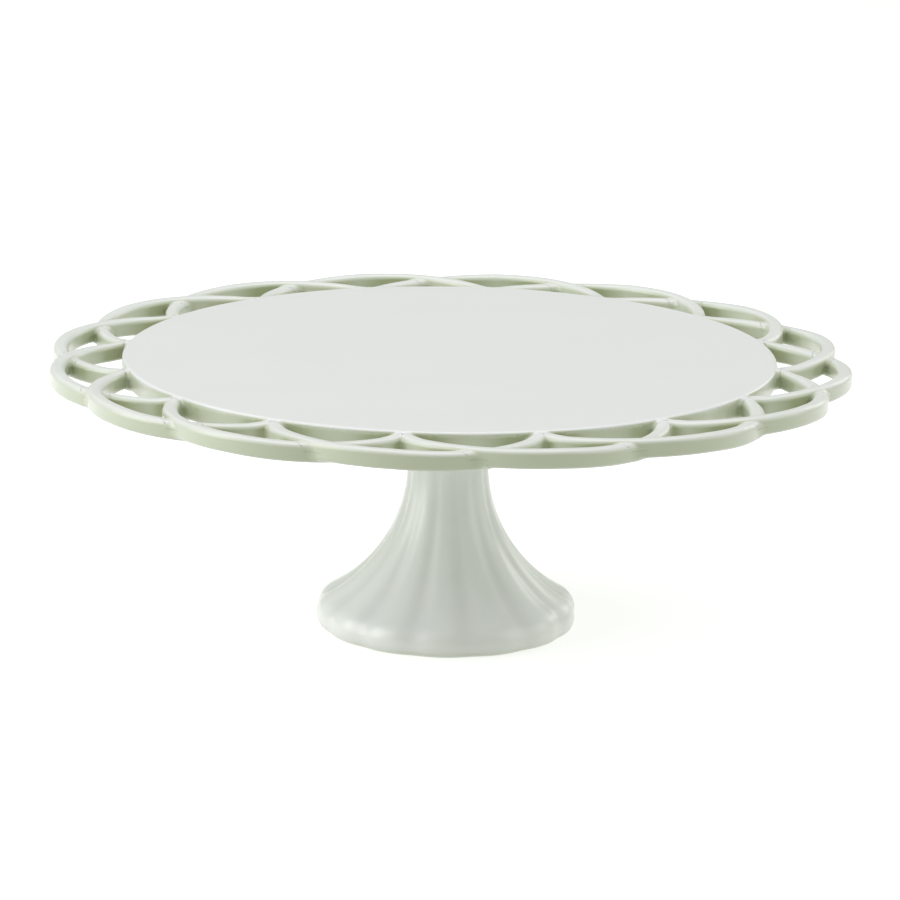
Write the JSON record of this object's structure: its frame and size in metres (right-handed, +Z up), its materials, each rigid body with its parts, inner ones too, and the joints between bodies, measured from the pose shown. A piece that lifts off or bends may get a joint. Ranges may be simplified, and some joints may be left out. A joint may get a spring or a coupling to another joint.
{
  "type": "cake stand",
  "caption": "Round glazed ceramic cake stand: a flat plate with an openwork rim of interlaced strands on a hollow, softly fluted trumpet pedestal.",
  "frame": {"origin": "on the stand's axis, on the surface that its foot ring rests on", "axes": "+Z up along the stand's axis of symmetry, towards the plate; the stand is round, and +X is one of many like directions"},
  "size_m": [0.3178, 0.3178, 0.1113],
  "materials": {
    "glaze": "glossy pale celadon glaze over white ceramic, a little deeper in colour where it pools",
    "joint_slip": "fired casting slip, thinly glazed where it shows"
  },
  "bodies": {
    "root": {"plate_disc": "glaze", "pedestal": "glaze", "luting_ring": "joint_slip", "rim_loop_01": "glaze", "rim_loop_02": "glaze", "rim_loop_03": "glaze", "rim_loop_04": "glaze", "rim_loop_05": "glaze", "rim_loop_06": "glaze", "rim_loop_07": "glaze", "rim_loop_08": "glaze", "rim_loop_09": "glaze", "rim_loop_10": "glaze", "rim_loop_11": "glaze", "rim_loop_12": "glaze", "rim_loop_13": "glaze", "rim_loop_14": "glaze", "rim_loop_15": "glaze", "rim_loop_16": "glaze"}
  },
  "joints": []
}
